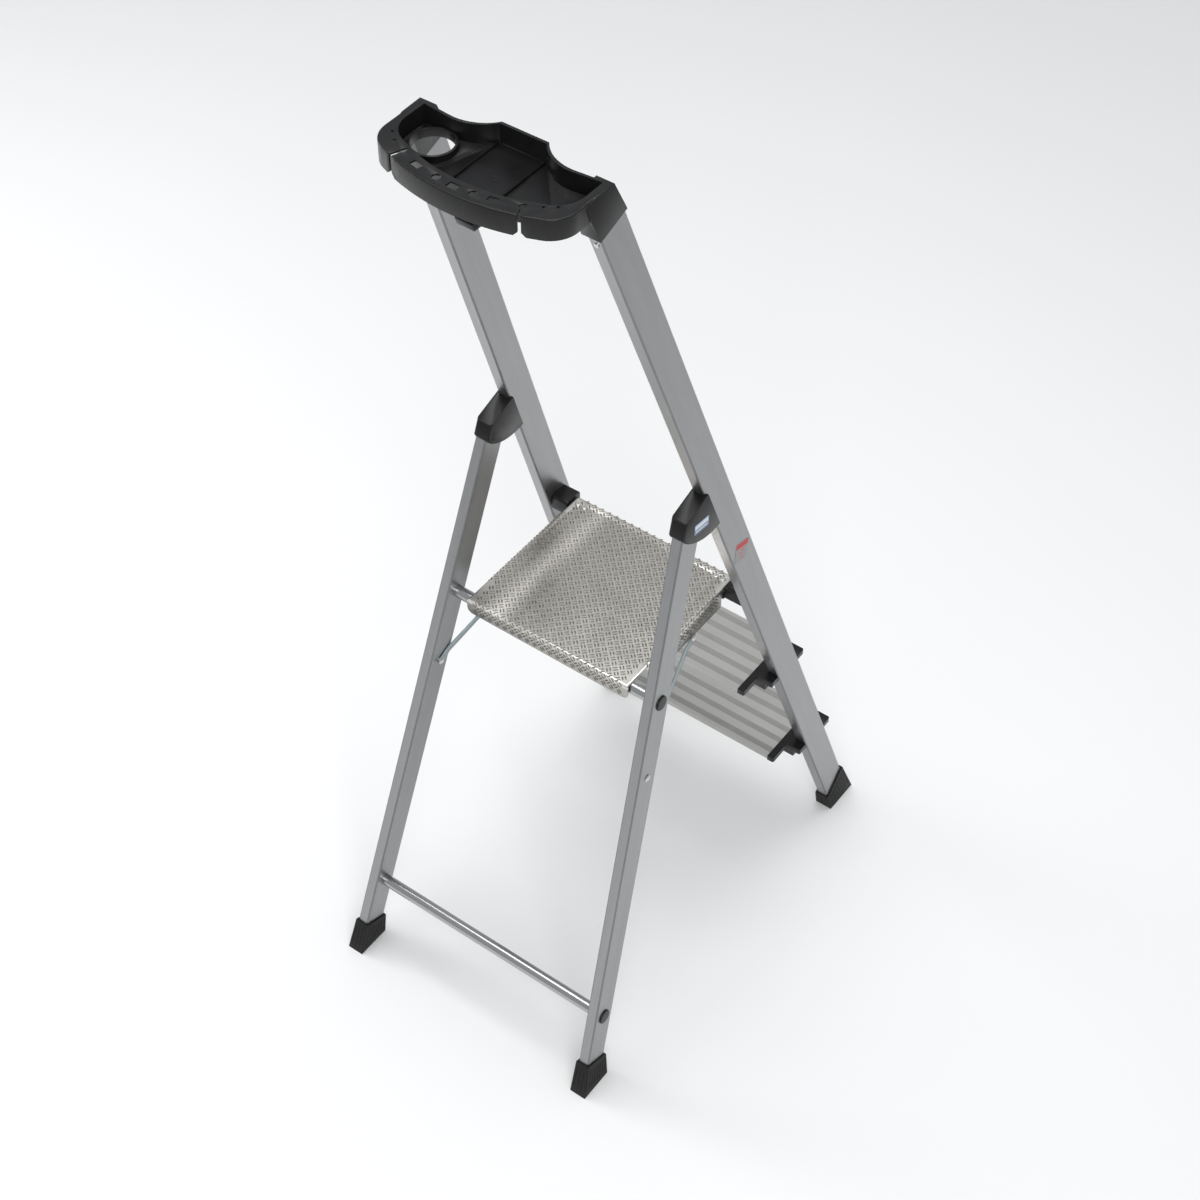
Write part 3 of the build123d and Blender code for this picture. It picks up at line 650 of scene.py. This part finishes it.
def grip_tree(material):
    """Pairs of raised bars on flat sheet, bent down over the two sides and the rear edge."""
    b = Build("grip_pattern")
    grip = bpy.context.scene.ladder_grip
    low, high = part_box("platform")
    half, front, rear, top = high.x, low.y, high.y, high.z
    pitch = b.size("Pitch", grip.pitch)
    length = b.size("Bar length", grip.length)
    width = b.size("Bar width", grip.width)
    gap = b.size("Bar spacing", grip.gap)
    height = b.size("Bar height", grip.height)
    bend = b.size("Bend radius", SHEET_BEND)
    side = b.size("Side flange", 31.0 * MM)
    lip = b.size("Rear lip", 23.0 * MM)

    bar = b.node("GeometryNodeMeshUVSphere", i0=8, i1=5, i2=0.5)
    shaped = b.node("GeometryNodeTransform", Geometry=bar.outputs[0])
    size = b.node("ShaderNodeCombineXYZ", X=length, Y=width, Z=height * 2.0)
    b.feed(shaped.inputs["Scale"], size.outputs[0])
    both = b.node("GeometryNodeJoinGeometry")
    for sign in (0.5, -0.5):
        step = b.node("ShaderNodeCombineXYZ", Y=gap * sign)
        moved = b.node("GeometryNodeTransform", Geometry=shaped.outputs[0], Translation=step.outputs[0])
        b.tree.links.new(moved.outputs[0], both.inputs[0])

    joined = b.node("GeometryNodeJoinGeometry")
    columns, rows = 27, 24
    for turn, shift in ((45.0, 0.0), (-45.0, 0.5)):
        grid = b.node("GeometryNodeMeshGrid", Size_X=pitch * (columns - 1.0), Size_Y=pitch * (rows - 1.0),
                      Vertices_X=columns, Vertices_Y=rows)
        step = b.node("ShaderNodeCombineXYZ", X=pitch * shift, Y=pitch * shift)
        placed = b.node("GeometryNodeTransform", Geometry=grid.outputs[0], Translation=step.outputs[0])
        turned = b.node("GeometryNodeTransform", Geometry=both.outputs[0], Rotation=(0, 0, radians(turn)))
        set_out = b.node("GeometryNodeInstanceOnPoints", Points=placed.outputs[0],
                         Instance=turned.outputs[0])
        b.tree.links.new(set_out.outputs[0], joined.inputs[0])

    # the flat pattern is centred on the sheet; drop what falls outside its developed outline
    at = b.node("GeometryNodeInputPosition")
    xyz = b.node("ShaderNodeSeparateXYZ", Vector=at.outputs[0])
    x, y = Val(b.tree, xyz.outputs[0]), Val(b.tree, xyz.outputs[1])
    middle = (front + rear) / 2
    over_x = x.size() - (half - SHEET_BEND)
    over_y = (y + middle) - (rear - SHEET_BEND)
    arc = bend * (pi / 2)
    reach = 0.5 * 9.5 * MM
    outside = (over_x.above(arc + side - SHEET_BEND - reach)
               + over_y.above(arc + lip - SHEET_BEND - reach)
               + (y + middle).below(front + reach)
               + over_x.above(0.0 - reach) * over_y.above(0.0 - reach)
               + over_x.above(0.0 - reach) * (y + middle).below(FLANGE_START + reach)
               + over_x.above(0.0 - reach) * (y + middle).above(FLANGE_END - reach))
    kept = b.node("GeometryNodeDeleteGeometry", {"domain": "INSTANCE"}, Geometry=joined.outputs[0],
                  Selection=outside.above(0.5))
    real = b.node("GeometryNodeRealizeInstances", Geometry=kept.outputs[0])

    # bend the developed sheet over its edges
    at = b.node("GeometryNodeInputPosition")
    xyz = b.node("ShaderNodeSeparateXYZ", Vector=at.outputs[0])
    x, y, h = (Val(b.tree, xyz.outputs[i]) for i in range(3))

    def bent(distance):
        """Sideways and downward place of a point that lies past the start of a bend."""
        angle = (distance / bend).at_least(0.0).at_most(pi / 2)
        past = (distance - arc).at_least(0.0)
        flat = distance.at_most(0.0)
        return flat + angle.sine() * (bend + h), (bend + h) * angle.cosine() - bend - h - past

    out_x, down_x = bent(x.size() - (half - SHEET_BEND))
    out_y, down_y = bent((y + middle) - (rear - SHEET_BEND))
    new_x = x.sign() * (out_x + (half - SHEET_BEND))
    new_y = out_y + (rear - SHEET_BEND)
    new_z = down_x + down_y + h + top
    place = b.node("ShaderNodeCombineXYZ", X=new_x, Y=new_y, Z=new_z)
    laid = b.node("GeometryNodeSetPosition", Geometry=real.outputs[0], Position=place.outputs[0])
    smooth = b.node("GeometryNodeSetShadeSmooth", Geometry=laid.outputs[0])
    b.finish(smooth.outputs[0], material)
    return b


class LADDER_OT_platform(bpy.types.Operator):
    """Embossed platform sheet with its raised grip bars"""
    bl_idname = "ladder.platform"
    bl_label = "Platform"

    def execute(self, context):
        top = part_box("platform")[1].z
        sheet = pressed_sheet("platform_sheet", tuple(finish().sheet), top, PAINTED_STREAK)
        # painted shade: the bars' material is the sheet's finish in a darker colour
        bars = pressed_sheet("grip_bars_painted_shade", tuple(finish().bars), top, PAINTED_STREAK)
        stand_in("platform", 0.4 * MM, "deck", "platform_sheet", sheet)
        grip = grip_tree(bars).run("platform_grip", bpy.data.meshes.new("grip_seed"))
        if len(grip.data.polygons) < 1000:
            raise RuntimeError("the grip pattern is empty")
        dress(grip, "deck", None)
        return {"FINISHED"}


class LADDER_OT_treads(bpy.types.Operator):
    """Ridged treads and the moulded brackets that hold them"""
    bl_idname = "ladder.treads"
    bl_label = "Treads"

    def execute(self, context):
        for name in ("lower_tread", "upper_tread"):
            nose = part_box(name)[0].y
            metal = tread_metal(name + "_aluminium", tuple(finish().tread), nose)
            paint((name,), metal)
            for node in pair(name + "_bracket"):
                stand_in(node, finish().edge, "front_frame", "black_plastic", black_plastic())
        return {"FINISHED"}


class LADDER_OT_braces(bpy.types.Operator):
    """Zinc plated braces"""
    bl_idname = "ladder.braces"
    bl_label = "Braces"

    def execute(self, context):
        zinc = plated_steel("zinc_steel", tuple(finish().zinc), 0.34)
        for side in ("left", "right"):
            stand_in("brace_" + side, 0.5 * MM, side + "_brace", "zinc_steel", zinc)
        return {"FINISHED"}


class LADDER_OT_hinges(bpy.types.Operator):
    """Fold hinge covers and platform lugs"""
    bl_idname = "ladder.hinges"
    bl_label = "Hinges"

    def execute(self, context):
        for node in pair("hinge_cover"):
            stand_in(node, finish().edge, "front_frame", "black_plastic", black_plastic())
        for node in pair("platform_lug"):
            stand_in(node, finish().edge, "deck", "black_plastic", black_plastic())
        return {"FINISHED"}


class LADDER_OT_tray(bpy.types.Operator):
    """Tool tray and bucket hook"""
    bl_idname = "ladder.tray"
    bl_label = "Tool tray"

    def execute(self, context):
        stand_in("tool_tray", 0.6 * MM, "front_frame", "black_plastic", black_plastic())
        stand_in("bucket_hook", finish().edge, "front_frame", "black_plastic", black_plastic())
        mark = ring("tray_floor_mark", (-4.5 * MM, 231 * MM, 1558.6 * MM), 4.2 * MM, 0.45 * MM)
        dress(mark, "front_frame", black_plastic())
        return {"FINISHED"}


def ring(name, place, radius, thickness, around=36, section=8):
    """A thin torus lying flat at a place."""
    work = bmesh.new()
    loops = []
    for i in range(around):
        a = 2 * pi * i / around
        loop = []
        for j in range(section):
            b = 2 * pi * j / section
            out = radius + thickness * cos(b)
            loop.append(work.verts.new((place[0] + out * cos(a), place[1] + out * sin(a),
                                        place[2] + thickness * sin(b))))
        loops.append(loop)
    for i in range(around):
        one, two = loops[i], loops[(i + 1) % around]
        for j in range(section):
            k = (j + 1) % section
            work.faces.new((one[j], two[j], two[k], one[k]))
    bmesh.ops.recalc_face_normals(work, faces=work.faces)
    mesh = bpy.data.meshes.new(name)
    work.to_mesh(mesh)
    work.free()
    piece = new_piece(name, mesh)
    smooth_below(piece, 60.0)
    return piece


def panel_ribs_tree(material):
    """Tapered ribs on a four-cornered face: A and B along the floor, D and C above them."""
    b = Build("foot_ribs")
    corners = [b.size("Corner " + c, (0.0, 0.0, 0.0), "NodeSocketVector") for c in "ABCD"]
    ribs = b.size("Ribs", 8, "NodeSocketInt")
    proud = b.size("Height", 1.3 * MM)
    line = b.node("GeometryNodeMeshLine", {"mode": "OFFSET"}, Count=ribs)
    pitch = 1.0 / ribs
    start = b.node("ShaderNodeCombineXYZ", X=pitch * 0.5, Y=0.5)
    step = b.node("ShaderNodeCombineXYZ", X=pitch)
    b.feed(line.inputs["Start Location"], start.outputs[0])
    b.feed(line.inputs["Offset"], step.outputs[0])
    stick = b.node("GeometryNodeMeshCone", i0=4, i1=1, i2=1, i3=0.22, i4=0.42, i5=1.0)
    squared = b.node("GeometryNodeTransform", Geometry=stick.outputs[0], Rotation=(0, 0, pi / 4))
    size = b.node("ShaderNodeCombineXYZ", X=pitch, Y=1.62, Z=1.0)
    spaced = b.node("GeometryNodeTransform", Geometry=squared.outputs[0], Scale=size.outputs[0])
    rows = b.node("GeometryNodeInstanceOnPoints", Points=line.outputs[0], Instance=spaced.outputs[0])
    real = b.node("GeometryNodeRealizeInstances", Geometry=rows.outputs[0])

    at = b.node("GeometryNodeInputPosition")
    xyz = b.node("ShaderNodeSeparateXYZ", Vector=at.outputs[0])
    u, v, h = (Val(b.tree, xyz.outputs[i]) for i in range(3))

    def mix(factor, first, second):
        node = b.node("ShaderNodeMix", {"data_type": "VECTOR"})
        b.feed(node.inputs[0], factor)
        b.feed(node.inputs[4], first)
        b.feed(node.inputs[5], second)
        return node.outputs[1]

    def vector(operation, first, second):
        node = b.node("ShaderNodeVectorMath", {"operation": operation})
        b.feed(node.inputs[0], first)
        b.feed(node.inputs[1], second)
        return node.outputs[0]

    low_edge = mix(u, corners[0], corners[1])
    high_edge = mix(u, corners[3], corners[2])
    on_face = mix(v, low_edge, high_edge)
    outwards = b.node("ShaderNodeVectorMath", {"operation": "NORMALIZE"})
    along = vector("SUBTRACT", corners[1], corners[0])
    up = vector("SUBTRACT", corners[3], corners[0])
    b.feed(outwards.inputs[0], vector("CROSS_PRODUCT", along, up))
    lift = b.node("ShaderNodeVectorMath", {"operation": "SCALE"}, i0=outwards.outputs[0])
    b.feed(lift.inputs["Scale"], (h - 0.35) * proud)
    b_place = vector("ADD", on_face, lift.outputs[0])
    laid = b.node("GeometryNodeSetPosition", Geometry=real.outputs[0], Position=b_place)
    b.finish(laid.outputs[0], material)
    return b


def foot_corners(matrix, base_half, base_y, width, depth, lean, front_flare, rear_flare, tops, side):
    """The eight corners of a foot: four on the floor and four round the stile, outer rear first."""
    flare, wall = 5.2 * MM, 2.8 * MM
    middle = base_half - width / 2
    outer, inner = middle + width / 2 + flare, middle - width / 2 - flare
    back, nose = base_y + rear_flare, base_y - depth / cos(lean) - front_flare
    floor = [Vector((side * outer, back, 0)), Vector((side * outer, nose, 0)),
             Vector((side * inner, nose, 0)), Vector((side * inner, back, 0))]
    top_back, top_front = tops
    above = [Vector((wall, wall, top_back)), Vector((wall, -depth - wall, top_front)),
             Vector((-width - wall, -depth - wall, top_front)), Vector((-width - wall, wall, top_back))]
    return floor, [matrix @ p for p in above]


class LADDER_OT_feet(bpy.types.Operator):
    """Ribbed rubber feet"""
    bl_idname = "ladder.feet"
    bl_label = "Feet"

    def execute(self, context):
        feet = context.scene.ladder_feet
        rubber = moulded_plastic("foot_rubber", tuple(finish().rubber), 0.58, grain=1400.0, wear=0.8)
        kinds = (("front", rail_matrix, RAIL_BASE_HALF, FRONT_Y, RAIL_W, RAIL_D, FRONT_LEAN,
                  7.0 * MM, 7.4 * MM, (36 * MM, 62 * MM), "front_frame"),
                 ("rear", leg_matrix, LEG_BASE_HALF, REAR_Y, LEG_W, LEG_D, REAR_LEAN,
                  11.9 * MM, 1.7 * MM, (63 * MM, 60 * MM), "rear_frame"))
        for kind, matrix, half, y, width, depth, lean, front, rear, tops, body in kinds:
            for side, word in ((1, "right"), (-1, "left")):
                node = kind + "_foot_" + word
                stand_in(node, finish().edge, body, "foot_rubber", rubber)
                floor, above = foot_corners(
                    matrix(side), half, y, width, depth, lean, front, rear, tops, side)
                panels = []
                for face in range(4):
                    after = (face + 1) % 4
                    corners = (floor[face], floor[after], above[after], above[face])
                    if side > 0:
                        corners = (corners[1], corners[0], corners[3], corners[2])
                    tree = panel_ribs_tree(rubber)
                    count = feet.ribs if face % 2 == 0 else max(2, feet.ribs // 2)
                    values = [tuple(c) for c in corners] + [count, feet.proud]
                    tree.sizes = dict(zip(tree.sizes, values))
                    panels.append(tree.run("rib_panel", bpy.data.meshes.new("rib_seed")))
                ribs = joined(node + "_ribs", panels)
                dress(ribs, body, rubber)
        return {"FINISHED"}


def joined(name, pieces):
    """One mesh of several, with what they were made from removed."""
    work = bmesh.new()
    for piece in pieces:
        work.from_mesh(piece.data)
        bpy.data.objects.remove(piece)
    bmesh.ops.recalc_face_normals(work, faces=work.faces)
    mesh = bpy.data.meshes.new(name)
    work.to_mesh(mesh)
    work.free()
    return new_piece(name, mesh)


class LADDER_OT_fasteners(bpy.types.Operator):
    """Rivets, pins and studs"""
    bl_idname = "ladder.fasteners"
    bl_label = "Fasteners"

    def execute(self, context):
        metal = rivet_metal()
        paint(("tray_rivets", "platform_rivets", "bracket_rivets", "brace_leg_rivets")
              + pair("brace_stud") + pair("hinge_pin") + pair("platform_pivot_pin"), metal)
        return {"FINISHED"}


class LADDER_OT_labels(bpy.types.Operator):
    """Plain rail label and hinge sticker"""
    bl_idname = "ladder.labels"
    bl_label = "Labels"

    def execute(self, context):
        red, pink, white = (0.48, 0.018, 0.022), (0.46, 0.12, 0.12), (0.60, 0.64, 0.68)
        for node, base, rough, turn, marks in (
                ("rail_label", (0.245, 0.247, 0.25), 0.40, LABEL_TURN,
                 ((0, 12, 14.5, 4.4, red), (-3, 2, 2.6, 2.6, pink), (-1, -5, 1.6, 4.0, pink),
                  (3, -2, 3.4, 1.2, pink), (-3, -12, 3.6, 1.2, pink))),
                ("hinge_sticker", (0.17, 0.22, 0.36), 0.25, STICKER_TURN,
                 ((0, 3.0, 15, 3.4, white), (0, -4.4, 13, 1.0, white)))):
            low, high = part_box(node)
            paint((node,), printed_film(node + "_print", base, rough, (low + high) / 2, turn, marks))
        return {"FINISHED"}


STEPS = (LADDER_OT_stage, LADDER_OT_stiles, LADDER_OT_tubes, LADDER_OT_platform, LADDER_OT_treads,
         LADDER_OT_braces, LADDER_OT_hinges, LADDER_OT_tray, LADDER_OT_feet, LADDER_OT_fasteners,
         LADDER_OT_labels)


class LADDER_PT_panel(bpy.types.Panel):
    """Lists the ladder's steps"""
    bl_label = "Step ladder"
    bl_idname = "LADDER_PT_panel"
    bl_space_type = "VIEW_3D"
    bl_region_type = "UI"
    bl_category = "Ladder"

    def draw(self, context):
        for group in GROUPS:
            settings = getattr(context.scene, group)
            for key in settings.__annotations__:
                self.layout.prop(settings, key)
        for step in STEPS:
            self.layout.operator(step.bl_idname)


GROUPS = {"ladder_finish": LadderFinish, "ladder_grip": LadderGrip, "ladder_feet": LadderFeet,
          "ladder_stage": LadderStage}


def register():
    for group in GROUPS.values():
        bpy.utils.register_class(group)
    for name, group in GROUPS.items():
        setattr(bpy.types.Scene, name, bpy.props.PointerProperty(type=group))
    for step in STEPS:
        bpy.utils.register_class(step)
    bpy.utils.register_class(LADDER_PT_panel)


def unregister():
    bpy.utils.unregister_class(LADDER_PT_panel)
    for step in reversed(STEPS):
        bpy.utils.unregister_class(step)
    for name, group in reversed(GROUPS.items()):
        delattr(bpy.types.Scene, name)
        bpy.utils.unregister_class(group)


def main():
    register()
    for step in STEPS:
        group, name = step.bl_idname.split(".")
        getattr(getattr(bpy.ops, group), name)()


if __name__ == "__main__":
    main()
